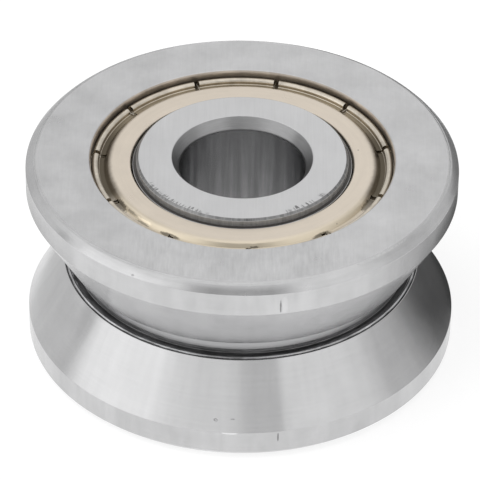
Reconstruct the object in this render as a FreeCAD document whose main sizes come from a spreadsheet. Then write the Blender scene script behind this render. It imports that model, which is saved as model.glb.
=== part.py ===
# A V groove guide wheel: a double row ball bearing whose thick outer ring is the wheel itself.
# Millimetres. The origin is the wheel's centre, at mid width on its axis, and +Z runs along that axis.
import FreeCAD, Part
import os

import Sketcher
from FreeCAD import Placement, Rotation, Vector

SIZES = {
    # Outer ring, which is the wheel
    "wheel_diameter": 41.0,
    "wheel_width": 20.0,
    "rim_chamfer": 0.8,
    "groove_mouth": 13.9,
    "groove_angle": 120.0,
    "relief_width": 2.0,
    "relief_depth": 0.915,
    "shield_seat_width": 1.475,
    "recess_depth": 1.4,
    "recess_edge_break": 0.15,
    # Inner ring, which the axle bolt clamps
    "bore_diameter": 12.0,
    "bore_chamfer": 0.7,
    "bore_chamfer_depth": 1.1,
    "inner_ring_width": 20.0,
    "inner_shoulder_diameter": 20.8,
    "notch_depth": 0.35,
    "notch_height": 0.8,
    "inner_face_chamfer": 0.25,
    # Balls and raceways
    "ball_diameter": 4.762,
    "ball_count": 9,
    "shoulder_gap": 2.5,
    "row_inset": 5.6,
    "ball_clearance": 0.02,
    "race_relief": 0.119,
    # Snap-in cages
    "cage_ring_gap": 0.3,
    "cage_back_wall": 0.6,
    "cage_horn_reach": 1.1,
    "cage_pocket_clearance": 0.08,
    "cage_relief_width": 1.7,
    "cage_relief_reach": 1.2,
    # Pressed shields
    "shield_bore_gap": 0.2,
    "shield_sheet": 0.3,
    "shield_web_rise": 0.5,
    "shield_step_run": 0.45,
    "shield_step_bend": 0.55,
    "shield_channel_width": 0.5,
    "shield_bead_radius": 0.32,
    "shield_bead_rise": 0.2,
    "shield_bead_gap": 0.155,
    "shield_lip_catch": 0.225,
    "shield_slot_count": 11,
    "shield_slot_width": 0.5,
    "shield_slot_overrun": 0.15,
    "shield_slot_phase": 11.1,
    "snap_clearance": 0.15,
}

# How near, in millimetres, an edge must lie to the corner that it is looked up by
EDGE_MATCH = 0.001

# Derived lengths, as expressions of the sheet's cells
WHEEL_RADIUS = "Sizes.wheel_diameter / 2"
HALF_WIDTH = "Sizes.wheel_width / 2"
HALF_MOUTH = "Sizes.groove_mouth / 2"
HALF_RELIEF = "Sizes.relief_width / 2"
FLANK_END_RADIUS = f"({WHEEL_RADIUS}) - ({HALF_MOUTH} - {HALF_RELIEF}) / tan(Sizes.groove_angle / 2)"
RELIEF_RADIUS = f"{FLANK_END_RADIUS} - Sizes.relief_depth"
INNER_SHOULDER = "Sizes.inner_shoulder_diameter / 2"
NOTCH_RADIUS = f"{INNER_SHOULDER} - Sizes.notch_depth"
OUTER_SHOULDER = f"{INNER_SHOULDER} + Sizes.shoulder_gap"
RECESS_RADIUS = f"{OUTER_SHOULDER} + Sizes.shield_seat_width"
SEAT_HEIGHT = f"({HALF_WIDTH}) - Sizes.recess_depth"
BORE_RADIUS = "Sizes.bore_diameter / 2"
INNER_HALF_WIDTH = "Sizes.inner_ring_width / 2"
BALL_RADIUS = "Sizes.ball_diameter / 2"
BALL_STEP = "360 / Sizes.ball_count"
HALF_STEP = "180 / Sizes.ball_count"
# The balls run midway between the two rings' shoulders, and each row stands well in from its face
PITCH_RADIUS = f"({INNER_SHOULDER} + Sizes.shoulder_gap / 2)"
ROW_HEIGHT = f"({HALF_WIDTH}) - Sizes.row_inset"
RACE_RADIUS = f"{BALL_RADIUS} + Sizes.race_relief"
OUTER_RACE_CENTRE = f"{PITCH_RADIUS} + Sizes.ball_clearance - Sizes.race_relief"
INNER_RACE_CENTRE = f"{PITCH_RADIUS} - Sizes.ball_clearance + Sizes.race_relief"
POCKET_RADIUS = f"{BALL_RADIUS} + Sizes.cage_pocket_clearance"
CAGE_INNER = f"{INNER_SHOULDER} + Sizes.cage_ring_gap"
CAGE_OUTER = f"{OUTER_SHOULDER} - Sizes.cage_ring_gap"
SHIELD_BORE = f"{INNER_SHOULDER} + Sizes.shield_bore_gap"
CHANNEL_TOP = f"{SEAT_HEIGHT} + Sizes.shield_sheet"
WEB_TOP = f"{CHANNEL_TOP} + Sizes.shield_web_rise"
WEB_UNDERSIDE = f"{WEB_TOP} - Sizes.shield_sheet"
LIP_RADIUS = f"{RECESS_RADIUS} + Sizes.shield_lip_catch"
BEAD_CENTRE = f"{RECESS_RADIUS} - Sizes.shield_bead_gap - Sizes.shield_bead_radius"
CHANNEL_EDGE = f"{BEAD_CENTRE} - Sizes.shield_bead_radius - Sizes.shield_channel_width"
WEB_EDGE = f"{CHANNEL_EDGE} - Sizes.shield_step_run"


def build_sheet(document):
    """Writes the driving dimensions into the document's sheet, one named cell each."""
    sheet = document.addObject("Spreadsheet::Sheet", "Sizes")
    for row, (name, value) in enumerate(SIZES.items(), start=1):
        sheet.set(f"A{row}", name)
        sheet.set(f"B{row}", str(value))
        sheet.setAlias(f"B{row}", name)
    document.recompute()
    return sheet


def negative(expression):
    """The same length below the mid plane."""
    return f"-({expression})"


def origin_feature(body, role):
    """One of the body's own origin planes or axes."""
    for feature in body.Origin.OriginFeatures:
        if feature.Role == role:
            return feature
    raise ValueError(f"{body.Label} has no {role}")


def new_sketch(body, name, plane):
    """An empty sketch on one of the body's own origin planes."""
    sketch = body.newObject("Sketcher::SketchObject", name)
    sketch.AttachmentSupport = [(origin_feature(body, plane), "")]
    sketch.MapMode = "FlatFace"
    return sketch


def bind(sketch, kind, geometry, point, expression, label):
    """Ties a point's distance from the sketch's origin, along one axis, to an expression."""
    value = float(sketch.evalExpression(expression))
    index = sketch.addConstraint(Sketcher.Constraint(kind, -1, 1, geometry, point, value))
    sketch.renameConstraint(index, label)
    sketch.setExpression(f"Constraints.{label}", expression)


def outline(body, name, corners, plane="XZ_Plane"):
    """A closed outline of straight runs through corners given as pairs of expressions."""
    sketch = new_sketch(body, name, plane)
    points = []
    for across, along in corners:
        x = float(sketch.evalExpression(across))
        y = float(sketch.evalExpression(along))
        points.append(Vector(x, y, 0))
    count = len(points)
    for index in range(count):
        sketch.addGeometry(Part.LineSegment(points[index], points[(index + 1) % count]), False)
    for index in range(count):
        sketch.addConstraint(Sketcher.Constraint("Coincident", index, 2, (index + 1) % count, 1))
    for index, (across, along) in enumerate(corners):
        bind(sketch, "DistanceX", index, 1, across, f"across_{index}")
        bind(sketch, "DistanceY", index, 1, along, f"along_{index}")
    return sketch


def round_outline(body, name, across, along, radius):
    """A circle in the body's XZ plane, placed and sized by expressions."""
    sketch = new_sketch(body, name, "XZ_Plane")
    centre = Vector(float(sketch.evalExpression(across)), float(sketch.evalExpression(along)), 0)
    size = float(sketch.evalExpression(radius))
    sketch.addGeometry(Part.Circle(centre, Vector(0, 0, 1), size), False)
    bind(sketch, "DistanceX", 0, 3, across, "across")
    bind(sketch, "DistanceY", 0, 3, along, "along")
    index = sketch.addConstraint(Sketcher.Constraint("Radius", 0, size))
    sketch.renameConstraint(index, "radius")
    sketch.setExpression("Constraints.radius", radius)
    return sketch


def turned(body, kind, name, sketch):
    """Turns a sketch once round the body's Z axis, adding (Revolution) or cutting (Groove)."""
    feature = body.newObject(f"PartDesign::{kind}", name)
    feature.Profile = sketch
    feature.ReferenceAxis = (origin_feature(body, "Z_Axis"), [""])
    feature.Angle = 360
    body.Document.recompute()
    return feature


def rounded(body, name, base, sketch, corners, radius):
    """Rounds the turned edges that pass through a section's corners, given as pairs of expressions."""
    edges = []
    for across, along in corners:
        reach = float(sketch.evalExpression(across))
        height = float(sketch.evalExpression(along))
        for number, edge in enumerate(base.Shape.Edges, start=1):
            if not isinstance(edge.Curve, Part.Circle):
                continue
            same_reach = abs(edge.Curve.Radius - reach) < EDGE_MATCH
            same_height = abs(edge.Curve.Center.z - height) < EDGE_MATCH
            if same_reach and same_height:
                edges.append(f"Edge{number}")
    fillet = body.newObject("PartDesign::Fillet", name)
    fillet.Base = (base, edges)
    fillet.setExpression("Radius", radius)
    body.Tip = fillet
    body.Document.recompute()
    return fillet


def polar_pattern(body, name, originals, count):
    """Repeats features evenly round the body's Z axis."""
    pattern = body.newObject("PartDesign::PolarPattern", name)
    pattern.Originals = originals
    pattern.Axis = (origin_feature(body, "Z_Axis"), [""])
    pattern.Angle = 360
    pattern.setExpression("Occurrences", count)
    body.Tip = pattern
    body.Document.recompute()
    return pattern


def new_body(document, label):
    """A body whose label names its file."""
    body = document.addObject("PartDesign::Body", label)
    body.Label = label
    document.recompute()
    return body


def cut_raceways(body, centre_radius):
    """Turns the two ball raceways, one for each row."""
    for row, height in (("Upper", ROW_HEIGHT), ("Lower", negative(ROW_HEIGHT))):
        sketch = round_outline(body, f"{row}RaceOutline", centre_radius, height, RACE_RADIUS)
        turned(body, "Groove", f"{row}Race", sketch)


def build_outer_ring(document):
    """The wheel: chamfered rim, V groove with its relief slot, face recesses, snap grooves and raceways."""
    body = new_body(document, "outer_ring")
    upper_half = [
        (OUTER_SHOULDER, SEAT_HEIGHT),
        (RECESS_RADIUS, SEAT_HEIGHT),
        (RECESS_RADIUS, f"{HALF_WIDTH} - Sizes.recess_edge_break"),
        (f"{RECESS_RADIUS} + Sizes.recess_edge_break", HALF_WIDTH),
        (f"{WHEEL_RADIUS} - Sizes.rim_chamfer", HALF_WIDTH),
        (WHEEL_RADIUS, f"{HALF_WIDTH} - Sizes.rim_chamfer"),
        (WHEEL_RADIUS, HALF_MOUTH),
        (FLANK_END_RADIUS, HALF_RELIEF),
        (RELIEF_RADIUS, HALF_RELIEF),
    ]
    lower_half = [(across, negative(along)) for across, along in reversed(upper_half)]
    turned(body, "Revolution", "RingBlank", outline(body, "RingSection", upper_half + lower_half))
    snap_radius = f"{LIP_RADIUS} + Sizes.snap_clearance"
    snap_top = f"{SEAT_HEIGHT} + Sizes.shield_sheet + Sizes.snap_clearance"
    snap_start = f"{RECESS_RADIUS} - Sizes.snap_clearance"
    snap_corners = [
        (snap_start, SEAT_HEIGHT),
        (snap_radius, SEAT_HEIGHT),
        (snap_radius, snap_top),
        (snap_start, snap_top),
    ]
    turned(body, "Groove", "UpperSnapGroove", outline(body, "UpperSnapSection", snap_corners))
    mirrored = [(across, negative(along)) for across, along in snap_corners]
    turned(body, "Groove", "LowerSnapGroove", outline(body, "LowerSnapSection", mirrored))
    cut_raceways(body, OUTER_RACE_CENTRE)
    return body


def build_inner_ring(document):
    """The ring that is clamped to the axle, with a chamfered bore, shield notches and two raceways."""
    body = new_body(document, "inner_ring")
    upper_half = [
        (BORE_RADIUS, f"{INNER_HALF_WIDTH} - Sizes.bore_chamfer_depth"),
        (f"{BORE_RADIUS} + Sizes.bore_chamfer", INNER_HALF_WIDTH),
        (f"{NOTCH_RADIUS} - Sizes.inner_face_chamfer", INNER_HALF_WIDTH),
        (NOTCH_RADIUS, f"{INNER_HALF_WIDTH} - Sizes.inner_face_chamfer"),
        (NOTCH_RADIUS, f"{INNER_HALF_WIDTH} - Sizes.notch_height"),
        (INNER_SHOULDER, f"{INNER_HALF_WIDTH} - Sizes.notch_height"),
    ]
    lower_half = [(across, negative(along)) for across, along in reversed(upper_half)]
    turned(body, "Revolution", "RingBlank", outline(body, "RingSection", upper_half + lower_half))
    cut_raceways(body, INNER_RACE_CENTRE)
    return body


def build_shield(document, label, rotation):
    """A pressed sheet shield: flat web, stepped channel, rolled rim cut into tongues by slots."""
    body = new_body(document, label)
    # The step's underside is set back so that the sheet keeps its thickness down the slope
    set_back = "Sizes.shield_sheet / 2"
    section = [
        (SHIELD_BORE, WEB_UNDERSIDE),
        (SHIELD_BORE, WEB_TOP),
        (WEB_EDGE, WEB_TOP),
        (CHANNEL_EDGE, CHANNEL_TOP),
        (LIP_RADIUS, CHANNEL_TOP),
        (LIP_RADIUS, SEAT_HEIGHT),
        (f"{CHANNEL_EDGE} - {set_back}", SEAT_HEIGHT),
        (f"{WEB_EDGE} - {set_back}", WEB_UNDERSIDE),
    ]
    sketch = outline(body, "PressedSection", section)
    pressing = turned(body, "Revolution", "Pressing", sketch)
    rounded(body, "StepBend", pressing, sketch, [(WEB_EDGE, WEB_TOP)], "Sizes.shield_step_bend")
    bead_height = f"{CHANNEL_TOP} + Sizes.shield_bead_rise"
    bead = round_outline(body, "RolledSection", BEAD_CENTRE, bead_height, "Sizes.shield_bead_radius")
    turned(body, "Revolution", "RolledRim", bead)
    half_slot = "Sizes.shield_slot_width / 2"
    slot_start = f"{CHANNEL_EDGE} - Sizes.shield_slot_overrun"
    slot_end = f"{LIP_RADIUS} + Sizes.shield_sheet"
    slot_corners = [
        (slot_start, negative(half_slot)),
        (slot_end, negative(half_slot)),
        (slot_end, half_slot),
        (slot_start, half_slot),
    ]
    slot = body.newObject("PartDesign::Pocket", "Slot")
    slot.Profile = outline(body, "SlotOutline", slot_corners, plane="XY_Plane")
    slot.Type = "ThroughAll"
    slot.Reversed = True
    document.recompute()
    polar_pattern(body, "Slots", [slot], "Sizes.shield_slot_count")
    body.Placement = Placement(Vector(0, 0, 0), rotation)
    return body


def build_cage(document, label, rotation, height):
    """A one-piece snap-in cage: a back ring with a pair of horns gripping each ball."""
    body = new_body(document, label)
    back = f"{POCKET_RADIUS} + Sizes.cage_back_wall"
    ring_corners = [
        (CAGE_INNER, "-Sizes.cage_horn_reach"),
        (CAGE_OUTER, "-Sizes.cage_horn_reach"),
        (CAGE_OUTER, back),
        (CAGE_INNER, back),
    ]
    turned(body, "Revolution", "CageRing", outline(body, "CageSection", ring_corners))
    pocket = body.newObject("PartDesign::SubtractiveSphere", "BallPocket")
    pocket.AttachmentSupport = [(origin_feature(body, "XY_Plane"), "")]
    pocket.MapMode = "FlatFace"
    pocket.setExpression("Radius", POCKET_RADIUS)
    pocket.setExpression("AttachmentOffset.Base.x", f"{PITCH_RADIUS} * cos({HALF_STEP})")
    pocket.setExpression("AttachmentOffset.Base.y", f"{PITCH_RADIUS} * sin({HALF_STEP})")
    document.recompute()
    half_relief = "Sizes.cage_relief_width / 2"
    relief_corners = [
        (negative(half_relief), "-Sizes.cage_horn_reach - Sizes.cage_back_wall"),
        (half_relief, "-Sizes.cage_horn_reach - Sizes.cage_back_wall"),
        (half_relief, "Sizes.cage_relief_reach"),
        (negative(half_relief), "Sizes.cage_relief_reach"),
    ]
    relief = body.newObject("PartDesign::Pocket", "HornRelief")
    relief.Profile = outline(body, "HornReliefOutline", relief_corners, plane="YZ_Plane")
    relief.Type = "Length"
    relief.setExpression("Length", f"2 * ({CAGE_OUTER})")
    relief.Reversed = True
    document.recompute()
    polar_pattern(body, "BallPockets", [pocket, relief], "Sizes.ball_count")
    body.Placement = Placement(Vector(0, 0, 0), rotation)
    body.setExpression("Placement.Base.z", height)
    return body


def build_balls(document, row, height, first_angle):
    """One row of balls, spaced evenly round the pitch circle."""
    balls = []
    for number in range(int(SIZES["ball_count"])):
        ball = document.addObject("Part::Sphere", f"{row}_ball_{number + 1}")
        ball.Label = f"{row}_ball_{number + 1}"
        angle = f"({first_angle} + {number} * {BALL_STEP})"
        ball.setExpression("Radius", BALL_RADIUS)
        ball.setExpression("Placement.Base.x", f"{PITCH_RADIUS} * cos({angle})")
        ball.setExpression("Placement.Base.y", f"{PITCH_RADIUS} * sin({angle})")
        ball.setExpression("Placement.Base.z", height)
        balls.append(ball)
    document.recompute()
    return balls


def check_and_export(document, parts):
    """Stops on any failed object or bad solid, then writes one file for each sub-part."""
    for item in document.Objects:
        if "Invalid" in item.State or "Error" in item.State:
            raise RuntimeError(f"{item.Label} did not build: {item.State}")
    for part in parts:
        if part.Shape.isNull() or not part.Shape.isValid() or not part.Shape.Solids:
            raise RuntimeError(f"{part.Label} is not a sound solid")
    os.makedirs("parts", exist_ok=True)
    for part in parts:
        part.Shape.exportStep(f"parts/{part.Label}.step")
        print(f"{part.Label}: {len(part.Shape.Solids)} solid, {part.Shape.Volume:.2f} mm3")


def main():
    """Builds every sub-part in its place and writes them."""
    document = FreeCAD.newDocument("GuideWheel")
    build_sheet(document)
    # The lower row is the upper one turned over and moved on by half a ball's step
    upright = Rotation(Vector(0, 0, 1), SIZES["shield_slot_phase"])
    flipped = Rotation(Vector(1, 0, 0), 180)
    staggered = Rotation(Vector(0, 0, 1), 180 / SIZES["ball_count"]).multiply(flipped)
    parts = [build_outer_ring(document), build_inner_ring(document)]
    parts.append(build_shield(document, "upper_shield", upright))
    parts.append(build_shield(document, "lower_shield", flipped))
    parts.append(build_cage(document, "upper_cage", Rotation(), ROW_HEIGHT))
    parts.append(build_cage(document, "lower_cage", staggered, negative(ROW_HEIGHT)))
    parts.extend(build_balls(document, "upper", ROW_HEIGHT, HALF_STEP))
    parts.extend(build_balls(document, "lower", negative(ROW_HEIGHT), BALL_STEP))
    document.recompute()
    check_and_export(document, parts)


main()
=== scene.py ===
"""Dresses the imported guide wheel: ground rings, pressed shields, cages and balls, studio and camera."""

import logging
import math
from dataclasses import dataclass, field
from enum import Enum
from functools import cached_property

import bpy
import numpy as np
from mathutils import Matrix, Vector


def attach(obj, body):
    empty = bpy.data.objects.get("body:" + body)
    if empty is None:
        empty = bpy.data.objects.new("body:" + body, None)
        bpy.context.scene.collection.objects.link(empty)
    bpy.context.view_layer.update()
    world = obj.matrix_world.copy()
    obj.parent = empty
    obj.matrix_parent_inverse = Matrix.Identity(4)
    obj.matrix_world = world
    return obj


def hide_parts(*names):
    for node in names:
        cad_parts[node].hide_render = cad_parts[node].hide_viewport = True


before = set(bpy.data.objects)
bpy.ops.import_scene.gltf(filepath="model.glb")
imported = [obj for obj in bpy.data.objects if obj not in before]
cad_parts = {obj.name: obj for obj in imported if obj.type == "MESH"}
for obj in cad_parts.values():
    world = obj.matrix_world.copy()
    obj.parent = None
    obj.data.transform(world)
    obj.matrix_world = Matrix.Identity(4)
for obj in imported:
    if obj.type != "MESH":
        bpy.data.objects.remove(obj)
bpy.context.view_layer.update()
MM = 0.001
FULL_TURN = 2 * math.pi
STRAIGHT = 1e-6
EDGE_ROOM = 0.49
ARC_FACETS = 5

log = logging.getLogger("guide_wheel")

Socket = bpy.types.NodeSocket
Material = bpy.types.Material
Pair = tuple[float, float]
Triple = tuple[float, float, float]
Colour = Triple
Inputs = dict[str | int, object]
Faces = list[tuple[int, ...]]

STEEL: Colour = (0.62, 0.62, 0.625)
WHITE = (1.0, 1.0, 1.0, 1.0)


class Lay(Enum):
    """The way the tool marks of a finish run."""

    AROUND = "around the axis"
    DOWN = "down the section"
    ACROSS = "straight towards the front"


class Side(Enum):
    """The face of the wheel that a piece belongs to."""

    TOP = 1.0
    UNDER = -1.0


@dataclass(frozen=True)
class Corner:
    """One corner of a turned section in millimetres, with its edge's radius and the surface after it."""

    radius: float
    height: float
    edge: float = 0.05
    surface: str = ""


@dataclass
class Section:
    """A closed turned section: its points and normals, the surface after each and which way it winds."""

    corners: list[Corner]
    steps: int = 3
    clockwise: bool = field(init=False)
    points: np.ndarray = field(init=False)
    normals: np.ndarray = field(init=False)
    surfaces: list[str] = field(init=False)

    def __post_init__(self) -> None:
        """Rounds every corner with a tangent arc; a straight one gives a single point."""
        places = np.array([(corner.radius, corner.height) for corner in self.corners])
        ahead = np.roll(places, -1, axis=0)
        area = float(np.sum(places[:, 0] * ahead[:, 1] - ahead[:, 0] * places[:, 1]))
        self.clockwise = area < 0
        side = -1.0 if self.clockwise else 1.0
        lengths = np.linalg.norm(ahead - places, axis=1)
        courses = (ahead - places) / lengths[:, None]
        points: list[np.ndarray] = []
        normals: list[np.ndarray] = []
        self.surfaces = []
        for index, corner in enumerate(self.corners):
            before = courses[index - 1]
            after = courses[index]
            room = EDGE_ROOM * min(lengths[index - 1], lengths[index])
            turn = math.atan2(before[0] * after[1] - before[1] * after[0], float(before @ after))
            slope = max(abs(math.tan(turn / 2)), STRAIGHT)
            reach = min(corner.edge * slope, room)
            arc = math.copysign(reach / slope, turn * side)
            normal = side * np.array([before[1], -before[0]])
            centre = places[index] - before * reach - normal * arc
            steps = self.steps if abs(turn) > STRAIGHT else 0
            for step in range(steps + 1):
                swing = turn * step / self.steps
                out = normal[0] * math.cos(swing) - normal[1] * math.sin(swing)
                up = normal[0] * math.sin(swing) + normal[1] * math.cos(swing)
                normals.append(np.array([out, up]))
                points.append(centre + normals[-1] * arc)
                self.surfaces.append(corner.surface)
        self.points = np.array(points)
        self.normals = np.array(normals)


def mirrored(upper: list[Corner], first: str) -> list[Corner]:
    """The corners below the middle plane that match those above it, in reverse order.

    Args:
        upper: the corners above the middle plane.
        first: the surface that leads up to them.

    Returns:
        The lower corners.
    """
    surfaces = [first] + [corner.surface for corner in upper[:-1]]
    return [
        Corner(corner.radius, -corner.height, corner.edge, surface)
        for corner, surface in zip(reversed(upper), reversed(surfaces))
    ]


def toned(colour: Colour, tone: float) -> Colour:
    """A colour times a number."""
    return tuple(tone * part for part in colour)


def arc_corners(centre: Pair, radius: float, first: float, last: float, surface: str) -> list[Corner]:
    """Corners of the polygon round an arc between two angles in radians, rounded to follow it."""
    step = (last - first) / ARC_FACETS
    reach = radius / math.cos(step / 2)
    corners = []
    for index in range(ARC_FACETS):
        turn = first + (index + 0.5) * step
        out = centre[0] + reach * math.cos(turn)
        corners.append(Corner(out, centre[1] + reach * math.sin(turn), abs(radius), surface))
    return corners


@dataclass(frozen=True)
class Raceway:
    """A ball track: a round groove cut in a ring's shoulder."""

    centre: float
    shoulder: float
    height: float
    radius: float = 2.5

    def corners(self) -> list[Corner]:
        """Corners from edge to edge of the groove, up in an outer ring and down in an inner one."""
        radius = math.copysign(self.radius, self.shoulder - self.centre)
        opening = math.acos(abs(self.shoulder - self.centre) / self.radius)
        mouth = radius * math.sin(opening)
        return [
            Corner(self.shoulder, self.height - mouth, 0.05, "race"),
            *arc_corners((self.centre, self.height), radius, -opening, opening, "race"),
            Corner(self.shoulder, self.height + mouth, 0.05, "shoulder"),
        ]


def ball_tracks(centre: float, shoulder: float, heights: Pair) -> list[Corner]:
    """The corners of a ring's two ball tracks, at the heights given."""
    return [corner for height in heights for corner in Raceway(centre, shoulder, height).corners()]


def linked(name: str, data: bpy.types.ID) -> bpy.types.Object:
    """A new object in the scene."""
    thing = bpy.data.objects.new(name, data)
    bpy.context.scene.collection.objects.link(thing)
    return thing


def shown_mesh(
    name: str,
    places: np.ndarray,
    normals: np.ndarray,
    faces: Faces,
    finishes: list[Material],
    choice: list[int],
) -> bpy.types.Object:
    """Makes a smooth mesh with exact normals.

    Args:
        name: the piece's name.
        places: grid of places in metres, shaped (columns, points, 3).
        normals: their outward normals, shaped the same.
        faces: vertex numbers of each face.
        finishes: the piece's materials.
        choice: for each face, the number of its material.

    Returns:
        The linked object.
    """
    mesh = bpy.data.meshes.new(name)
    mesh.from_pydata(places.reshape(-1, 3).tolist(), [], faces)
    for finish in finishes:
        mesh.materials.append(finish)
    mesh.polygons.foreach_set("material_index", choice)
    mesh.polygons.foreach_set("use_smooth", [True] * len(faces))
    mesh.update()
    mesh.normals_split_custom_set_from_vertices(normals.reshape(-1, 3).tolist())
    log.info("built %s", name)
    return linked(name, mesh)


def turned_grid(section: Section, angles: np.ndarray) -> tuple[np.ndarray, np.ndarray]:
    """The section's points and normals at each azimuth.

    Args:
        section: the turned section, in millimetres.
        angles: azimuths, shaped (columns,) or (columns, points).

    Returns:
        Two arrays shaped (columns, points, 3): places in metres and unit normals.
    """
    if angles.ndim == 1:
        angles = np.repeat(angles[:, None], len(section.points), axis=1)
    grids = []
    for profile in (section.points * MM, section.normals):
        outward = profile[None, :, 0]
        upward = np.broadcast_to(profile[None, :, 1], angles.shape)
        grids.append(np.stack([outward * np.cos(angles), outward * np.sin(angles), upward], axis=-1))
    return grids[0], grids[1]


class Nodes:
    """A short hand for wiring one tree of nodes."""

    def __init__(self, tree: bpy.types.NodeTree) -> None:
        """Keeps the tree that is wired."""
        self.tree = tree

    def feed(self, node: bpy.types.Node, inputs: Inputs) -> None:
        """Sets or links inputs of a node."""
        for key, value in inputs.items():
            if isinstance(value, Socket):
                self.tree.links.new(value, node.inputs[key])
            else:
                node.inputs[key].default_value = value

    def add(self, kind: str, inputs: Inputs | None = None, **settings: object) -> bpy.types.Node:
        """Adds a node, sets its fields and sets or links its inputs.

        Args:
            kind: the node's type name, without its family prefix.
            inputs: values or sockets for its inputs.
            settings: fields of the node itself.

        Returns:
            The new node.
        """
        node = self.tree.nodes.new(f"ShaderNode{kind}")
        for key, value in settings.items():
            setattr(node, key, value)
        self.feed(node, inputs or {})
        return node

    def math(self, operation: str, first: object, second: object = 0.0, third: object = 0.0) -> Socket:
        """One Math node's result."""
        return self.add("Math", {0: first, 1: second, 2: third}, operation=operation).outputs[0]

    def product(self, first: object, *others: object) -> Socket:
        """The product of several values."""
        result = first
        for factor in others:
            result = self.math("MULTIPLY", result, factor)
        return result

    def linear(self, value: object, slope: object, start: object) -> Socket:
        """A value times a slope, plus a start."""
        return self.math("MULTIPLY_ADD", value, slope, start)

    def vector(self, x: object, y: object, z: object) -> Socket:
        """A vector of three values."""
        return self.add("CombineXYZ", {"X": x, "Y": y, "Z": z}).outputs[0]

    def scaled(self, vector: object, factor: object) -> Socket:
        """A vector or colour times a number."""
        return self.add("VectorMath", {0: vector, "Scale": factor}, operation="SCALE").outputs[0]

    def length(self, vector: Socket) -> Socket:
        """A vector's length."""
        return self.add("VectorMath", {0: vector}, operation="LENGTH").outputs["Value"]

    def dot(self, vector: Socket, direction: Triple) -> Socket:
        """How far a vector reaches along a direction."""
        return self.add("VectorMath", {0: vector, 1: direction}, operation="DOT_PRODUCT").outputs["Value"]

    def ramp(
        self, value: object, low: float, high: float, to_low: float = 0.0, to_high: float = 1.0
    ) -> Socket:
        """A smooth step from to_low to to_high as value goes from low to high."""
        limits = {"Value": value, "From Min": low, "From Max": high, "To Min": to_low, "To Max": to_high}
        return self.add("MapRange", limits, interpolation_type="SMOOTHSTEP").outputs["Result"]

    def window(self, value: object, low: float, high: float, soft: Pair) -> Socket:
        """1 while value is between low and high, falling to 0 over the two soft widths outside them."""
        rise = self.ramp(value, low - soft[0], low)
        fall = self.ramp(value, high, high + soft[1], 1.0, 0.0)
        return self.product(rise, fall)

    def between(self, angle: Socket, start: float, end: float, soft: Pair) -> Socket:
        """1 while an angle in radians is between two in degrees, falling to 0 over the soft widths."""
        away = self.math("SUBTRACT", angle, math.radians((start + end) / 2))
        half = math.radians((end - start) / 2)
        widths = (math.radians(soft[0]), math.radians(soft[1]))
        return self.window(self.math("WRAP", away, math.pi, -math.pi), -half, half, widths)

    def from_front(self, x: Socket, y: Socket) -> Socket:
        """The azimuth of a direction in radians, from the camera's side towards the right."""
        return self.math("ARCTAN2", x, self.product(y, -1.0))

    def noise(self, vector: Socket, pitch: float, detail: float = 3.0) -> Socket:
        """Noise about zero, whose grains are a pitch apart."""
        grains = {"Vector": vector, "Scale": 1 / pitch, "Detail": detail, "Roughness": 0.6}
        return self.math("SUBTRACT", self.add("TexNoise", grains).outputs[0], 0.5)

    def blended(self, share: Socket, first: object, second: object) -> Socket:
        """A colour that goes from the first to the second with the share."""
        inputs: Inputs = {"Factor": share}
        for number, colour in ((6, first), (7, second)):
            inputs[number] = colour if isinstance(colour, Socket) else (*colour, 1.0)
        return self.add("Mix", inputs, data_type="RGBA").outputs[2]


class Place:
    """A surface point's own coordinates, in millimetres."""

    ROUND_REACH = 18.0
    DOWN_SHARE = 1.7

    def __init__(self, nodes: Nodes) -> None:
        """Reads the piece's own coordinates."""
        self.nodes = nodes
        self.point = nodes.scaled(nodes.add("TexCoord").outputs["Object"], 1 / MM)
        self.x, self.y, self.z = nodes.add("SeparateXYZ", {0: self.point}).outputs
        flat = nodes.vector(self.x, self.y, 0.0)
        self.radius = nodes.length(flat)
        self.round = nodes.add("VectorMath", {0: flat}, operation="NORMALIZE").outputs[0]
        self.height = nodes.math("ABSOLUTE", self.z)
        self.azimuth = nodes.math("ARCTAN2", self.y, self.x)

    def sector(self, start: float, end: float, soft: float) -> Socket:
        """1 between two azimuths in degrees, with soft edges."""
        return self.nodes.between(self.azimuth, start, end, (soft, soft))

    def lines(self, lay: Lay, pitch: float, stretch: float) -> Socket:
        """Parallel lines along the lay, as noise about zero.

        Args:
            lay: which way the lines run.
            pitch: how far apart they are, in millimetres.
            stretch: how many times longer than wide they are.

        Returns:
            The noise.
        """
        nodes = self.nodes
        if lay is Lay.ACROSS:
            return nodes.noise(nodes.vector(self.x, nodes.math("DIVIDE", self.y, stretch), 0.0), pitch)
        reach = self.ROUND_REACH
        down = nodes.linear(self.z, self.DOWN_SHARE, self.radius)
        if lay is Lay.AROUND:
            reach = reach / stretch
        else:
            down = nodes.math("DIVIDE", down, stretch)
        around = nodes.scaled(self.round, reach)
        course = nodes.add("VectorMath", {0: around, 1: nodes.vector(0.0, 0.0, down)})
        return nodes.noise(course.outputs[0], pitch)


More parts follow.
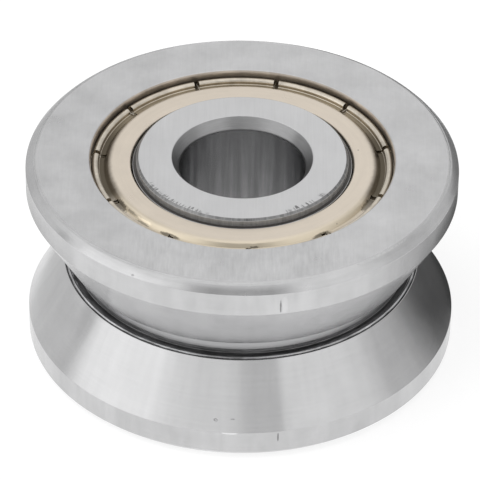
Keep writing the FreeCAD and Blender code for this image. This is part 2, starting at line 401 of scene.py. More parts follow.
class Coat(Nodes):
    """A material in the making: its nodes and its shader."""

    def __init__(self, name: str, metallic: float = 0.0) -> None:
        """Makes the material."""
        self.material = bpy.data.materials.new(name)
        self.material.use_nodes = True
        super().__init__(self.material.node_tree)
        self.shader = self.tree.nodes["Principled BSDF"]
        self.feed(self.shader, {"Metallic": metallic})

    @cached_property
    def place(self) -> Place:
        """The surface point's own coordinates."""
        return Place(self)

    def finished(self, colour: Socket, rough: Socket, depth: Socket) -> Material:
        """Gives the shader its colour, its roughness and a relief in millimetres."""
        bump = self.add("Bump", {"Height": depth, "Strength": 1.0, "Distance": MM})
        self.feed(self.shader, {"Base Color": colour, "Roughness": rough, "Normal": bump.outputs[0]})
        return self.material

    def mixed(self, share: object, first: bpy.types.Node, second: bpy.types.Node) -> Material:
        """Shows a mix of two shaders, the second by the share."""
        mix = self.add("MixShader", {0: share, 1: first.outputs[0], 2: second.outputs[0]})
        self.feed(self.tree.nodes["Material Output"], {"Surface": mix.outputs[0]})
        return self.material


@dataclass(frozen=True)
class Mark:
    """A nick, pit or scuff left by use; the bright dash on the lower land's edge and the light mark on a
    shield's crease are painted highlights instead.
    """

    azimuth: float
    radius: float
    height: float
    along: float
    down: float
    tone: float
    ragged: float = 0.5
    hollow: float = 0.0

    def mask(self, place: Place) -> Socket:
        """1 on the mark and 0 off it, with a ragged edge."""
        nodes = place.nodes
        angle = math.radians(self.azimuth)
        reach = nodes.dot(place.point, (math.cos(angle), math.sin(angle), 0.0))
        aside = nodes.dot(place.point, (-math.sin(angle) / self.along, math.cos(angle) / self.along, 0.0))
        out = nodes.math("DIVIDE", nodes.math("SUBTRACT", reach, self.radius), self.down)
        up = nodes.math("DIVIDE", nodes.math("SUBTRACT", place.z, self.height), self.down)
        away = nodes.length(nodes.vector(aside, out, up))
        away = nodes.linear(nodes.noise(place.point, 0.22), 2 * self.ragged, away)
        mask = nodes.ramp(away, 0.7, 1.1, 1.0, 0.0)
        if self.hollow:
            mask = nodes.product(mask, nodes.ramp(away, self.hollow * 0.6, self.hollow))
        return mask


@dataclass(frozen=True)
class WornEdge:
    """A turned edge, on both sides of the wheel, drawn lighter: most are rubbed bright by handling, and
    the two in the relief slot are painted highlights on its ridges.
    """

    radius: float
    height: float
    width: float
    tone: float

    def mask(self, place: Place) -> Socket:
        """1 along the edge, broken up round the wheel."""
        nodes = place.nodes
        out = nodes.math("SUBTRACT", place.radius, self.radius)
        up = nodes.math("SUBTRACT", place.height, self.height)
        away = nodes.length(nodes.vector(out, up, 0.0))
        broken = nodes.linear(nodes.noise(place.point, 1.3), 0.3, away)
        return nodes.ramp(broken, self.width * 0.4, self.width, 1.0, 0.0)


@dataclass(frozen=True)
class Hatching:
    """Short dark strokes across the upper edge of a turned face, where a washer has bruised it."""

    start: float
    end: float
    inner: float
    outer: float
    pitch: float
    tone: float

    def mask(self, place: Place) -> Socket:
        """1 on the strokes, which are longer and shorter by turns."""
        nodes = place.nodes
        strokes = place.lines(Lay.DOWN, self.pitch, 9.0)
        across = nodes.window(nodes.linear(strokes, 1.6, place.radius), self.inner, self.outer, (0.2, 0.1))
        around = place.sector(self.start, self.end, 5.0)
        upper = nodes.math("GREATER_THAN", place.z, 0.0)
        return nodes.product(nodes.ramp(strokes, -0.03, 0.07), across, around, upper)


@dataclass(frozen=True)
class GroundSteel:
    """Bare bearing steel with the fine marks of grinding or turning, worn edges and a few nicks.

    The lines and streaks run along a lay each. Calm is the share of the streaks that is left outside
    the sector that faces the camera, which has a start, an end and soft edges, in degrees; the stronger
    streaks there are partly a painted sheen on the real grinding marks.
    """

    name: str
    colour: Colour
    roughness: float
    anisotropy: float = 0.0
    lay: Lay = Lay.AROUND
    streak_lay: Lay = Lay.AROUND
    line_pitch: float = 0.12
    line_depth: float = 0.0006
    line_tone: float = 0.1
    line_stretch: float = 60.0
    streak_pitch: float = 0.5
    streak_stretch: float = 12.0
    streak_tone: float = 0.25
    calm: float = 1.0
    painted_sheen_sector: Triple = (-118.0, -62.0, 16.0)
    mottle: float = 0.2
    mark_depth: float = -0.02
    quarter_turn: float = 0.25
    marks: tuple[Mark | WornEdge | Hatching, ...] = ()

    def material(self) -> Material:
        """Builds the finish."""
        coat = Coat(self.name, metallic=1.0)
        place = coat.place
        if self.anisotropy:
            tangent = coat.add("Tangent", direction_type="RADIAL", axis="Z").outputs["Tangent"]
            coat.feed(coat.shader, {"Anisotropic": self.anisotropy, "Tangent": tangent})
            coat.feed(coat.shader, {"Anisotropic Rotation": self.quarter_turn})
        lines = place.lines(self.lay, self.line_pitch, self.line_stretch)
        streaks = place.lines(self.streak_lay, self.streak_pitch, self.streak_stretch)
        # painted sheen: the streaks are stronger in the sector facing the camera
        if self.calm < 1:
            share = coat.linear(place.sector(*self.painted_sheen_sector), 1 - self.calm, self.calm)
            streaks = coat.product(streaks, share)
        broad = coat.noise(place.point, 3.6, 4.0)
        tone = coat.linear(lines, self.line_tone, 1.0)
        tone = coat.linear(streaks, self.streak_tone, tone)
        tone = coat.linear(broad, self.mottle, tone)
        depth = coat.product(lines, self.line_depth)
        for mark in self.marks:
            mask = mark.mask(place)
            tone = coat.product(tone, coat.linear(mask, mark.tone - 1, 1.0))
            depth = coat.linear(mask, self.mark_depth, depth)
        rough = coat.linear(broad, 0.12, self.roughness)
        return coat.finished(coat.scaled(self.colour, tone), rough, depth)


@dataclass(frozen=True)
class PressedSheet:
    """Warm plated sheet, with grease and painted shade in its channel, a painted highlight on the web's
    front slope and scuff marks where it was crimped.
    """

    name: str = "pressed_sheet"
    colour: Colour = (0.765, 0.683, 0.581)
    # grease and painted shade: the dark colours of the channel, the second and lighter one for the far
    # sector
    grease: Colour = (0.1, 0.082, 0.055)
    thin_grease_and_shade: Colour = (0.34, 0.29, 0.21)
    bead: Colour = (0.68, 0.62, 0.53)
    # painted highlight: the pale colour that the web's bend takes in the front sector
    slope: Colour = (0.84, 0.74, 0.56)
    roughness: float = 0.3
    # the sector facing the camera and the one facing away, across which the painted highlight and painted
    # shade change
    front: Triple = (-148.0, -30.0, 12.0)
    back: Triple = (40.0, 140.0, 25.0)
    bend: Pair = (12.9, 13.1)
    channel: Pair = (13.02, 13.5)
    bead_foot: Pair = (13.45, 13.6)
    scuffs_and_highlight: tuple[Mark, ...] = (
        Mark(-149.5, 13.1, 8.98, 1.1, 0.4, 0.36, 0.8),
        Mark(-142.0, 12.9, 9.1, 0.8, 0.13, 0.6, 0.9),
        Mark(-134.0, 13.1, 8.95, 1.0, 0.12, 0.55, 0.9),
        # a painted highlight on a crease, lighter than the plate
        Mark(-134.0, 12.88, 9.12, 1.0, 0.12, 1.3, 0.8),
        Mark(-120.5, 13.05, 8.98, 1.2, 0.2, 0.32, 0.35),
        Mark(-84.5, 13.0, 9.02, 0.6, 0.12, 0.4, 0.8),
        Mark(-55.3, 13.12, 8.96, 1.1, 0.26, 0.32, 0.35),
        Mark(-27.0, 13.2, 8.97, 1.2, 0.36, 0.42, 0.9),
        Mark(-46.5, 12.9, 9.2, 0.1, 0.1, 0.5, 0.3),
        Mark(11.0, 11.2, 9.4, 0.09, 0.09, 0.55, 0.3),
    )

    def material(self) -> Material:
        """Builds the finish."""
        coat = Coat(self.name, metallic=1.0)
        place = coat.place
        streaks = place.lines(Lay.AROUND, 0.35, 25.0)
        broad = coat.noise(place.point, 2.4, 4.0)
        shade = coat.linear(streaks, 0.12, coat.linear(broad, 0.18, 1.0))
        worn = coat.linear(coat.noise(place.point, 1.1, 4.0), 0.9, shade)
        on_bead = coat.ramp(place.radius, *self.bead_foot)
        plate = coat.blended(on_bead, coat.scaled(self.colour, shade), coat.scaled(self.bead, worn))
        front = place.sector(*self.front)
        back = place.sector(*self.back)
        ragged = coat.linear(coat.noise(place.point, 0.5), 0.2, place.radius)
        bend = coat.window(ragged, *self.bend, (0.7, 0.15))
        # painted highlight: the web's bend turns pale in the sector facing the camera
        plate = coat.blended(coat.product(bend, front, 0.7), plate, self.slope)
        # painted shade with grease: the bend darkens, less in the front and back sectors
        pooled_grease_and_shade = coat.product(bend, coat.linear(front, -0.85, 0.92), coat.linear(back, -0.7, 1.0))
        # painted shade with grease: the channel between web and bead darkens, least in the front sector
        channel = coat.window(place.radius, *self.channel, (0.08, 0.08))
        channel = coat.product(channel, coat.linear(front, -0.8, 0.96))
        grease_and_shade = coat.math("MAXIMUM", pooled_grease_and_shade, channel)
        # the dark colour of the painted shade with grease is lighter in the back sector
        grease_and_shade_colour = coat.blended(back, self.grease, self.thin_grease_and_shade)
        colour = coat.blended(grease_and_shade, plate, coat.scaled(grease_and_shade_colour, shade))
        # the dark marks are scuffs, and the light one is a painted highlight
        for scuff in self.scuffs_and_highlight:
            colour = coat.scaled(colour, coat.linear(scuff.mask(place), scuff.tone - 1, 1.0))
        rough = coat.linear(grease_and_shade, 0.12, coat.linear(broad, 0.15, self.roughness))
        depth = coat.linear(streaks, 0.0008, coat.product(broad, 0.004))
        return coat.finished(colour, rough, depth)


@dataclass(frozen=True)
class MouldedNylon:
    """Off-white nylon with the faint flow marks of its mould, oily from the bearing's grease."""

    name: str = "moulded_nylon"
    colour: Colour = (0.72, 0.69, 0.6)
    stain: Colour = (0.45, 0.36, 0.22)

    def material(self) -> Material:
        """Builds the finish."""
        coat = Coat(self.name)
        flow = coat.place.lines(Lay.AROUND, 0.8, 8.0)
        broad = coat.noise(coat.place.point, 1.6, 4.0)
        shade = coat.linear(flow, 0.1, 1.0)
        stained = coat.ramp(broad, 0.0, 0.25)
        colour = coat.blended(stained, coat.scaled(self.colour, shade), coat.scaled(self.stain, shade))
        return coat.finished(colour, coat.linear(broad, 0.3, 0.42), coat.product(flow, 0.01))


@dataclass(frozen=True)
class LappedSteel:
    """Mirror bright ball steel with the haze of running."""

    name: str = "lapped_steel"
    colour: Colour = (0.7, 0.7, 0.71)

    def material(self) -> Material:
        """Builds the finish."""
        coat = Coat(self.name, metallic=1.0)
        place = coat.place
        haze = coat.noise(place.point, 0.9, 4.0)
        course = coat.vector(place.x, coat.math("DIVIDE", place.y, 20.0), place.z)
        scratches = coat.noise(course, 0.08)
        tone = coat.linear(haze, 0.12, coat.linear(scratches, 0.05, 1.0))
        rough = coat.linear(haze, 0.1, 0.08)
        return coat.finished(coat.scaled(self.colour, tone), rough, coat.product(scratches, 0.0003))


def turned_piece(
    name: str, section: Section, columns: int, finishes: dict[str, GroundSteel]
) -> bpy.types.Object:
    """Turns a section once round the axis.

    Args:
        name: the piece's name.
        section: the closed section.
        columns: how many steps there are round the axis.
        finishes: the finish of each surface name.

    Returns:
        The finished piece.
    """
    places, normals = turned_grid(section, np.arange(columns) * FULL_TURN / columns)
    count = len(section.points)
    names = list(finishes)
    choice = [names.index(surface) for surface in section.surfaces] * columns
    faces: Faces = []
    for column in range(columns):
        near = column * count
        far = ((column + 1) % columns) * count
        for row in range(count):
            above = (row + 1) % count
            quad = (near + row, far + row, far + above, near + above)
            faces.append(quad[::-1] if section.clockwise else quad)
    materials = [finish.material() for finish in finishes.values()]
    return shown_mesh(name, places, normals, faces, materials, choice)


@dataclass
class OuterRing:
    """The wheel itself: chamfered rims, a V groove with a relief slot, recesses and two ball tracks."""

    radius: float = 20.5
    half_width: float = 10.0
    chamfer: float = 0.8
    crown: float = 0.022
    half_mouth: float = 6.95
    flank_end: float = 17.065
    half_relief: float = 1.0
    relief_floor: float = 16.15
    ridge_height: float = 0.82
    spine_height: float = 0.42
    recess: float = 14.375
    edge_break: float = 0.15
    seat_height: float = 8.6
    snap_radius: float = 14.75
    snap_top: float = 9.05
    shoulder: float = 12.9
    race_centre: float = 11.551
    row_height: float = 4.4
    columns: int = 456

    def section(self) -> Section:
        """The ring's section, from its upper shoulder round by the upper face and back up its bore."""
        face = self.half_width
        middle = 0.5 * self.chamfer - self.crown
        foot = self.flank_end
        floor = self.relief_floor
        relief = self.half_relief
        upper = [
            Corner(self.shoulder, self.seat_height, 0.05, "seat"),
            Corner(self.snap_radius, self.seat_height, 0.05, "recess"),
            Corner(self.snap_radius, self.snap_top, 0.05, "recess"),
            Corner(self.recess, self.snap_top, 0.04, "recess"),
            Corner(self.recess, face - self.edge_break, 0.3, "recess"),
            Corner(self.recess + self.edge_break, face, 0.16, "face"),
            Corner(self.radius - self.chamfer, face, 0.7, "rim"),
            Corner(self.radius - middle, face - middle, 4.0, "rim"),
            Corner(self.radius, face - self.chamfer, 0.09, "land"),
            Corner(self.radius, self.half_mouth, 0.04, "flank"),
            Corner(foot, relief, 0.07, "slot"),
            Corner(foot - 0.2, relief, 0.03, "slot"),
            Corner(foot - 0.34, relief - 0.1, 0.05, "slot"),
            Corner(foot - 0.46, relief, 0.03, "slot"),
            Corner(floor - 0.15, relief, 0.08, "slot"),
            Corner(floor - 0.15, self.ridge_height, 0.05, "slot"),
            Corner(floor - 0.02, self.ridge_height - 0.06, 0.03, "slot"),
            Corner(floor, self.spine_height, 0.05, "spine"),
        ]
        lower = mirrored(upper, "spine")
        lower[-1] = Corner(self.shoulder, -self.seat_height, 0.05, "shoulder")
        rows = (-self.row_height, self.row_height)
        return Section(upper + lower + ball_tracks(self.race_centre, self.shoulder, rows), steps=2)

    def finishes(self) -> dict[str, GroundSteel]:
        """The finish of each of the ring's surfaces."""
        land_nicks_and_highlight = (
            Mark(-79.7, 20.5, 7.75, 0.09, 0.72, 0.45, 0.6),
            Mark(-78.6, 20.5, 7.9, 0.3, 1.1, 1.07),
            Mark(-79.66, 20.5, -7.6, 0.08, 0.5, 0.5),
            # a painted highlight: a bright dash along the lower land's edge
            Mark(-92.4, 20.5, -6.98, 0.8, 0.16, 1.35, 0.2),
        )
        flank_marks = (
            Mark(-96.07, 19.92, -5.94, 0.22, 0.17, 0.62, 0.9, 0.5),
            Mark(-91.6, 19.84, -5.8, 0.26, 0.07, 0.72, 1.0),
        )
        rim_marks = (WornEdge(19.7, 10.0, 0.1, 1.03), Mark(-118.8, 20.36, 9.34, 0.14, 0.1, 0.75, 0.8))
        # painted highlights: the slot's two ridge edges drawn much lighter
        slot_ridge_highlights = (WornEdge(16.15, 0.6, 0.26, 1.5), WornEdge(16.73, 0.93, 0.24, 2.8))
        race = GroundSteel("lapped_race", (0.66, 0.66, 0.67), 0.12, 0.5)
        return {
            # the face's grinding streaks are strongest in the front sector, partly a painted sheen
            "face": GroundSteel(
                "ground_face", STEEL, 0.3, lay=Lay.ACROSS, streak_lay=Lay.ACROSS, line_pitch=0.14,
                streak_pitch=0.3, streak_stretch=7.0, streak_tone=0.34, calm=0.3, mottle=0.46,
            ),
            "rim": GroundSteel(
                "turned_rim", STEEL, 0.26, 0.6, streak_pitch=0.35, streak_tone=0.22, mottle=0.36,
                marks=rim_marks,
            ),
            "land": GroundSteel(
                "ground_land", toned(STEEL, 0.9), 0.24, 0.5, streak_lay=Lay.DOWN, streak_pitch=1.6,
                streak_tone=0.3, mottle=0.3, marks=land_nicks_and_highlight,
            ),
            "flank": GroundSteel(
                "ground_flank", STEEL, 0.2, 0.9, streak_lay=Lay.DOWN, streak_pitch=1.2, streak_tone=0.16,
                line_depth=0.0003, mottle=0.18, marks=flank_marks,
            ),
            # painted shade: the slot's dark colour stands in for the shade inside the narrow slot
            "slot": GroundSteel(
                "turned_slot", (0.21, 0.21, 0.213), 0.34, 0.4, line_pitch=0.16, line_depth=0.003,
                line_tone=1.6, streak_pitch=0.34, streak_stretch=6.0, streak_tone=1.8, marks=slot_ridge_highlights,
            ),
            "spine": GroundSteel("turned_spine", (0.42, 0.42, 0.425), 0.3, 0.4, streak_pitch=0.2),
            # painted shade and a painted reflection of the beige shields: the recess wall's dark brownish
            # colour
            "recess": GroundSteel(
                "painted_shade_recess", (0.3, 0.266, 0.228), 0.5, streak_tone=0.8, mottle=1.3,
                marks=(WornEdge(14.45, 10.0, 0.4, 1.9),),
            ),
            # grease and painted shade: the dark brown seat seen through the shield's slots
            "seat": GroundSteel("grease_and_shade_seat", (0.33, 0.28, 0.21), 0.5, streak_tone=0.5, mottle=1.0),
            "race": race,
            "shoulder": race,
        }

    def build(self) -> None:
        """Turns the ring and puts it in the CAD node's place."""
        piece = turned_piece("ring_groove_wheel", self.section(), self.columns, self.finishes())
        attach(piece, "wheel")
        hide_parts("outer_ring")


@dataclass
class InnerRing:
    """The ring that is clamped to the axle: lead-in chamfers, shield notches and two ball tracks."""

    bore: float = 6.0
    chamfer: float = 0.7
    chamfer_depth: float = 1.1
    half_width: float = 10.0
    shoulder: float = 10.4
    notch: float = 10.05
    notch_floor: float = 9.2
    face_chamfer: float = 0.2
    race_centre: float = 11.749
    row_height: float = 4.4
    columns: int = 456

    def section(self) -> Section:
        """The ring's section, from its bore over the upper face and down its ball tracks."""
        upper = [
            Corner(self.bore, self.half_width - self.chamfer_depth, 0.5, "chamfer"),
            Corner(self.bore + self.chamfer, self.half_width, 0.08, "face"),
            Corner(self.notch - self.face_chamfer, self.half_width, 0.06, "edge"),
            Corner(self.notch, self.half_width - self.face_chamfer, 0.08, "side"),
            Corner(self.notch, self.notch_floor, 0.05, "ledge"),
            Corner(self.shoulder, self.notch_floor, 0.05, "shoulder"),
        ]
        rows = (self.row_height, -self.row_height)
        tracks = ball_tracks(self.race_centre, self.shoulder, rows)
        return Section(upper + tracks + mirrored(upper, "bore"))

    def finishes(self) -> dict[str, GroundSteel]:
        """The finish of each of the ring's surfaces."""
        hatching = (
            Hatching(-150.0, -112.0, 9.72, 9.9, 0.3, 0.4),
            Hatching(-62.0, -40.0, 9.56, 9.9, 0.44, 0.32),
        )
        race = GroundSteel("lapped_ring_race", (0.66, 0.66, 0.67), 0.12, 0.5)
        return {
            "chamfer": GroundSteel(
                "turned_lead_in", (0.36, 0.36, 0.363), 0.34, 0.6, line_pitch=0.2, line_tone=0.25,
                streak_pitch=0.3, streak_tone=0.3, line_depth=0.001, mottle=0.3,
                marks=(WornEdge(6.7, 10.0, 0.1, 1.1),),
            ),
            "face": GroundSteel(
                "ground_ring_face", toned(STEEL, 1.06), 0.3, lay=Lay.ACROSS, streak_lay=Lay.ACROSS,
                line_pitch=0.14, streak_pitch=0.4, streak_tone=0.12, mottle=0.18, marks=hatching,
            ),
            "edge": GroundSteel(
                "worn_ring_edge", (0.28, 0.28, 0.28), 0.4, lay=Lay.DOWN, streak_lay=Lay.DOWN,
                line_pitch=0.2, line_tone=1.2, streak_pitch=0.6, streak_tone=1.3, line_depth=0.004,
            ),
            "side": GroundSteel(
                "ring_side", (0.54, 0.54, 0.54), 0.6, lay=Lay.DOWN, streak_lay=Lay.DOWN, line_pitch=0.3,
                line_tone=0.5, streak_tone=0.7,
            ),
            # oil and painted shade: the ledge between ring and shield is nearly black
            "ledge": GroundSteel("oil_and_shade_ledge", (0.12, 0.115, 0.11), 0.5, streak_tone=0.6),
            "shoulder": race,
            "race": race,
            "bore": GroundSteel(
                "honed_bore", (0.56, 0.56, 0.565), 0.22, 0.8, streak_lay=Lay.DOWN, streak_pitch=2.2,
                streak_tone=1.1, line_depth=0.0003,
            ),
        }

    def build(self) -> None:
        """Turns the ring and puts it in the CAD node's place."""
        piece = turned_piece("ring_axle", self.section(), self.columns, self.finishes())
        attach(piece, "hub")
        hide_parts("inner_ring")


@dataclass
class Shield:
    """A pressed sheet shield whose rolled rim is cut into tongues by radial slots."""

    name: str
    node: str
    side: Side
    phase: float = 11.1
    slots: int = 11
    half_slot: float = 0.25
    bore: float = 10.55
    web_top: float = 9.4
    sheet: float = 0.3
    seat: float = 8.6
    channel_top: float = 8.9
    web_edge: float = 12.63
    channel_edge: float = 13.08
    step_bend: float = 0.7
    set_back: float = 0.15
    bead_centre: float = 13.93
    bead_radius: float = 0.35
    bead_height: float = 9.07
    bead_fan: float = 150.0
    bead_foot: float = 0.97
    lip: float = 14.6
    tongue_columns: int = 56
    dent_depth: float = 0.09
    dent_reach: Pair = (12.35, 13.5)
    dent_fade: float = 0.3
    dents: tuple[Pair, ...] = (
        (-147.5, 3.6), (-129.0, 2.4), (-119.0, 2.2), (-85.0, 1.8), (-56.5, 2.0), (-28.0, 3.4),
    )

    def rim(self) -> list[Corner]:
        """The outer corners, from the slots' inner ends over the rolled rim and the lip to the seat."""
        start = self.channel_edge - self.set_back
        share = (start - self.web_edge) / (self.channel_edge - self.web_edge)
        start_height = self.web_top + share * (self.channel_top - self.web_top)
        first = math.radians(90 + self.bead_fan / 2)
        last = math.radians(90 - self.bead_fan / 2)
        centre = (self.bead_centre, self.bead_height)
        foot = self.bead_radius * self.bead_foot
        return [
            Corner(start, start_height, 0.02),
            Corner(self.channel_edge, self.channel_top, 0.2),
            Corner(self.bead_centre - foot, self.channel_top, 0.1),
            *arc_corners(centre, self.bead_radius, first, last, "bead"),
            Corner(self.bead_centre + foot, self.channel_top, 0.06),
            Corner(self.lip, self.channel_top, 0.06),
            Corner(self.lip, self.seat, 0.06),
            Corner(start, self.seat, 0.02),
        ]

    def web(self) -> list[Corner]:
        """The inner corners, from the underside of the slots' inner ends round the bore edge."""
        underside = self.web_top - self.sheet
        return [
            Corner(self.channel_edge - self.set_back - 0.03, self.seat + 0.03, 0.02),
            Corner(self.web_edge - self.set_back, underside, 0.2),
            Corner(self.bore, underside, 0.06),
            Corner(self.bore, self.web_top, 0.22),
            Corner(self.web_edge, self.web_top, self.step_bend),
        ]

    def dented(self, places: np.ndarray) -> np.ndarray:
        """Pushes the web's outer edge in where the crimping tool bruised it.

        Args:
            places: grid of places in metres, shaped (columns, points, 3).

        Returns:
            The grid with the dents.
        """
        azimuth = np.degrees(np.arctan2(places[..., 1], places[..., 0]))
        radius = np.hypot(places[..., 0], places[..., 1]) / MM
        height = places[..., 2] / MM
        inner, outer = self.dent_reach
        on_slope = np.clip((radius - inner) / self.dent_fade, 0, 1)
        on_slope = on_slope * np.clip((outer - radius) / self.dent_fade, 0, 1)
        on_slope = on_slope * (height > self.channel_top - 0.01)
        coarse = np.sin(azimuth * 5.3 + radius * 9)
        fine = np.sin(azimuth * 11.9 - radius * 21)
        ragged = 0.55 + 0.25 * coarse + 0.2 * fine
        drop = np.zeros_like(radius)
        for centre, width in self.dents:
            away = (azimuth - centre + 180) % 360 - 180
            drop = drop + np.clip(1 - (away / width) ** 2, 0, 1)
        dented = places.copy()
        dented[..., 2] -= drop * on_slope * ragged * self.dent_depth * MM
        return dented

    def build(self, finish: Material) -> None:
        """Presses the shield, cuts the slots and puts it in the CAD node's place."""
        section = Section(self.web() + self.rim(), steps=4)
        rim_first = len(self.web()) * (section.steps + 1)
        narrow = np.arcsin(np.clip(self.half_slot / section.points[:, 0], 0, 1))
        sector = FULL_TURN / self.slots
        columns: list[np.ndarray] = []
        for index in range(self.slots):
            centre = math.radians(self.phase) * self.side.value + index * sector
            for step in range(self.tongue_columns + 1):
                columns.append(centre + narrow + step / self.tongue_columns * (sector - 2 * narrow))
        places, normals = turned_grid(section, np.array(columns))
        if self.side is Side.TOP:
            places = self.dented(places)
        else:
            places[..., 1:] *= -1
            normals[..., 1:] *= -1
        faces = self.skin(section, rim_first)
        piece = shown_mesh(self.name, places, normals, faces, [finish], [0] * len(faces))
        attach(piece, "wheel")
        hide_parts(self.node)

    def skin(self, section: Section, rim_first: int) -> Faces:
        """The faces of the pressing, with the slots left open and their ends closed.

        Args:
            section: the shield's section.
            rim_first: the first of its points that the slots cut through.

        Returns:
            Vertex numbers of each face, wound outwards.
        """
        faces: Faces = []
        count = len(section.points)
        per_tongue = self.tongue_columns + 1
        total = per_tongue * self.slots
        for column in range(total):
            in_slot = column % per_tongue == self.tongue_columns
            near = column * count
            far = ((column + 1) % total) * count
            for row in range(rim_first if in_slot else count):
                above = (row + 1) % count
                faces.append((near + row, far + row, far + above, near + above))
            if in_slot:
                last = count - 1
                faces.append((near + rim_first, far + rim_first, far + last, near + last))
                faces.append((near + last, far + last, far, near))
                faces.append(tuple(near + row for row in range(rim_first, count)))
                faces.append(tuple(far + row for row in reversed(range(rim_first, count))))
        return [face[::-1] for face in faces] if section.clockwise else faces


@dataclass(frozen=True)
class Panel:
    """A soft-edged patch of the light tent: azimuth from the camera's side and elevation, in degrees."""

    start: float
    end: float
    low: float
    high: float
    change: float
    soft_sides: Pair = (10.0, 10.0)
    soft_ends: Pair = (8.0, 8.0)

    def glow(self, nodes: Nodes, azimuth: Socket, elevation: Socket) -> Socket:
        """What the panel adds to the tent's brightness in a direction."""
        across = nodes.between(azimuth, self.start, self.end, self.soft_sides)
        along = nodes.between(elevation, self.low, self.high, self.soft_ends)
        return nodes.product(across, along, self.change)


@dataclass(frozen=True)
class Card:
    """An upright curved card round the wheel, which only reflections see."""

    name: str
    start: float
    end: float
    radius: float
    top: float
    glow: float
    soft_sides: Pair = (10.0, 10.0)
    soft_top: float = 1.0
    columns: int = 32

    def build(self, floor_height: float) -> None:
        """Stands the card on the floor."""
        vertices = []
        left, right = self.soft_sides
        for turn in azimuths(self.start - left, self.end + right, self.columns):
            x = self.radius * MM * math.sin(turn)
            y = -self.radius * MM * math.cos(turn)
            vertices += [(x, y, floor_height * MM), (x, y, (self.top + self.soft_top) * MM)]
        coat = Coat(self.name)
        place = coat.place
        across = coat.between(coat.from_front(place.x, place.y), self.start, self.end, self.soft_sides)
        share = coat.product(across, coat.ramp(place.z, self.top, self.top + self.soft_top, 1.0, 0.0))
        reflected_card(coat, vertices, strip(self.columns), self.glow, share)


@dataclass(frozen=True)
class FloorPatch:
    """A dark sector of a ring on the floor beside the wheel, which only reflections see."""

    start: float = 14.0
    end: float = 60.0
    soft: float = 14.0
    first: float = -10.0
    last: float = 80.0
    inner: float = 20.6
    outer: float = 28.0
    glow: float = 0.025
    columns: int = 30

    def build(self, height: float) -> None:
        """Lays the patch at a height in millimetres."""
        vertices = []
        for turn in azimuths(self.first, self.last, self.columns):
            for radius in (self.inner * MM, self.outer * MM):
                vertices.append((radius * math.cos(turn), radius * math.sin(turn), height * MM))
        coat = Coat("floor_card")
        share = coat.place.sector(self.start, self.end, self.soft)
        reflected_card(coat, vertices, strip(self.columns), self.glow, share)


def azimuths(first: float, last: float, steps: int) -> list[float]:
    """Angles in radians, evenly spaced from one in degrees to another."""
    return [math.radians(first + (last - first) * step / steps) for step in range(steps + 1)]


def strip(steps: int) -> Faces:
    """Faces of a strip that has two vertices at each step."""
    return [(2 * step, 2 * step + 2, 2 * step + 3, 2 * step + 1) for step in range(steps)]


def reflected_card(coat: Coat, vertices: list[Triple], faces: Faces, glow: float, share: object) -> None:
    """Makes a glowing studio card that only reflections see.

    Args:
        coat: its material, named as the card, with the share's nodes in it.
        vertices: its corner places in metres.
        faces: vertex numbers of its faces.
        glow: its brightness.
        share: how solid it is at each point, from 0 to 1.
    """
    name = coat.material.name
    mesh = bpy.data.meshes.new(name)
    mesh.from_pydata(vertices, [], faces)
    light = coat.add("Emission", {"Strength": glow})
    mesh.materials.append(coat.mixed(share, coat.add("BsdfTransparent"), light))
    card = linked(name, mesh)
    card.visible_camera = False
    card.visible_diffuse = False
    card.visible_transmission = False
    card.visible_shadow = False


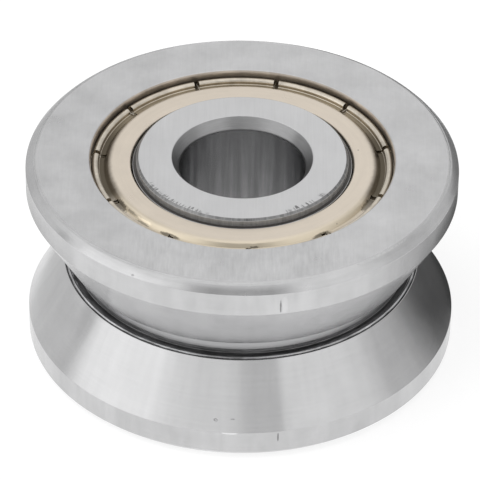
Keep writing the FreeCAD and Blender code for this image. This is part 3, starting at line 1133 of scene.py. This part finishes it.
@dataclass
class Studio:
    """Floor, light tent, cards and the camera of the photograph."""

    floor_height: float = -10.0
    floor_radius: float = 1500.0
    floor_tone: float = 0.36
    floor_glow: float = 0.73
    card_lift: float = 0.02
    elevation: float = 0.6434667
    roll: float = 0.0142014
    distance: float = 366.46
    shift_right: float = 0.1143
    shift_down: float = 0.1043
    focal_pixels: float = 3814.9
    frame_pixels: float = 480.0
    sensor: float = 36.0
    tent: float = 0.955
    panels: tuple[Panel, ...] = (
        Panel(-86, -48, -20, 40, 0.28, (5, 16)),
        Panel(-101, -94, -20, 25, -0.3, (3, 3)),
        Panel(-170, -104, -20, 22, -0.18),
        Panel(6, 22, -20, 32, -0.24, (12, 1)),
        Panel(86, 165, -20, 48, -0.3, (14, 14)),
        Panel(-22, 22, 36, 49, -0.64, (12, 12), (5, 12)),
        Panel(-176, -130, 20, 60, -0.22, (6, 20)),
        Panel(152, 196, 34, 62, 0.04, (10, 10)),
    )
    cards: tuple[Card, ...] = (
        Card("low_dark_card", 94, 135, 27.0, -0.6, 0.085, (30, 10)),
        Card("back_card_right", 118, 168, 60.0, 12.0, 0.2, (14, 8), 8.0),
        Card("back_card_left", -168, -112, 60.0, 12.0, 0.62, (8, 14), 8.0),
        Card("grey_card_right", 80, 140, 28.5, 3.0, 0.56, (45, 10)),
        Card("grey_card_left", -135, -69, 28.5, -2.0, 0.71, (10, 2)),
    )
    bore_card_radius: float = 5.9
    bore_card_glow: float = 0.43
    bore_card_sides: int = 48
    light_place: Triple = (-0.35, -0.1, 0.6)
    light_size: float = 0.5
    light_power: float = 1.0

    def camera(self) -> None:
        """The camera, which looks down on the wheel from the front."""
        back = Vector((0.0, -math.cos(self.elevation), math.sin(self.elevation)))
        right = Vector((1.0, 0.0, 0.0))
        upward = right.cross(-back)
        rolled_right = right * math.cos(self.roll) + upward * math.sin(self.roll)
        rolled_up = upward * math.cos(self.roll) - right * math.sin(self.roll)
        lens = bpy.data.cameras.new("camera")
        lens.sensor_width = self.sensor
        lens.lens = self.focal_pixels / self.frame_pixels * self.sensor
        lens.clip_start = 0.01
        lens.clip_end = 20.0
        camera = linked("camera", lens)
        place = back * self.distance - rolled_right * self.shift_right + rolled_up * self.shift_down
        axes = Matrix((rolled_right, rolled_up, back)).transposed().to_4x4()
        camera.matrix_world = Matrix.Translation(place * MM) @ axes
        bpy.context.scene.camera = camera

    def floor(self) -> None:
        """A wide pale floor under the wheel, clear from below."""
        size = self.floor_radius * MM
        mesh = bpy.data.meshes.new("floor")
        sides = ((-size, -size), (size, -size), (size, size), (-size, size))
        mesh.from_pydata([(x, y, self.floor_height * MM) for x, y in sides], [], [(0, 1, 2, 3)])
        coat = Coat("pale_floor")
        tone = self.floor_tone
        matte = {"Base Color": (tone, tone, tone, 1.0), "Roughness": 0.9, "Specular IOR Level": 0.0}
        coat.feed(coat.shader, matte)
        coat.feed(coat.shader, {"Emission Color": WHITE, "Emission Strength": self.floor_glow})
        under = coat.add("NewGeometry").outputs["Backfacing"]
        mesh.materials.append(coat.mixed(under, coat.shader, coat.add("BsdfTransparent")))
        floor = linked("floor", mesh)

    def surroundings(self) -> None:
        """The light tent round the wheel, with its brighter and darker patches."""
        world = bpy.data.worlds.new("light_tent")
        bpy.context.scene.world = world
        world.use_nodes = True
        nodes = Nodes(world.node_tree)
        background = world.node_tree.nodes["Background"]
        x, y, z = nodes.add("SeparateXYZ", {0: nodes.add("TexCoord").outputs["Generated"]}).outputs
        azimuth = nodes.from_front(x, y)
        elevation = nodes.math("ARCSINE", z)
        strength: object = self.tent
        for panel in self.panels:
            strength = nodes.math("ADD", strength, panel.glow(nodes, azimuth, elevation))
        nodes.feed(background, {"Strength": strength, "Color": WHITE})

    def bore_card(self, height: float) -> None:
        """A grey disc on the floor under the bore, which only reflections see."""
        radius = self.bore_card_radius * MM
        sides = self.bore_card_sides
        around = azimuths(0, 360, sides)[:-1]
        vertices = [(radius * math.cos(turn), radius * math.sin(turn), height * MM) for turn in around]
        reflected_card(Coat("bore_card"), vertices, [tuple(range(sides))], self.bore_card_glow, 1.0)

    def key_light(self) -> None:
        """One large soft box above and to the left."""
        lamp = bpy.data.lights.new("key_soft_box", "AREA")
        lamp.shape = "RECTANGLE"
        lamp.size = self.light_size
        lamp.size_y = self.light_size
        lamp.energy = self.light_power
        light = linked("key_soft_box", lamp)
        light.location = self.light_place
        light.rotation_euler = (-light.location).to_track_quat("-Z", "Y").to_euler()
        light.visible_glossy = False

    def build(self) -> None:
        """Sets up everything that isn't part of the wheel."""
        self.camera()
        self.floor()
        self.surroundings()
        for card in self.cards:
            card.build(self.floor_height)
        self.bore_card(self.floor_height + self.card_lift)
        FloorPatch().build(self.floor_height + self.card_lift)
        self.key_light()
        view = bpy.context.scene.view_settings
        view.view_transform = "Standard"
        view.look = "None"


def dress_inside() -> None:
    """Gives the cages and balls, whose CAD shapes stay, their finishes."""
    nylon = MouldedNylon().material()
    ball_steel = LappedSteel().material()
    for name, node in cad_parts.items():
        if "ball" in name or "cage" in name:
            node.data.materials.clear()
            node.data.materials.append(ball_steel if "ball" in name else nylon)


def main() -> None:
    """Builds and dresses each piece in order."""
    logging.basicConfig(level=logging.INFO, format="%(message)s")
    Studio().build()
    OuterRing().build()
    InnerRing().build()
    sheet = PressedSheet().material()
    Shield("shield_top", "upper_shield", Side.TOP).build(sheet)
    Shield("shield_under", "lower_shield", Side.UNDER).build(sheet)
    dress_inside()


if __name__ == "__main__":
    main()
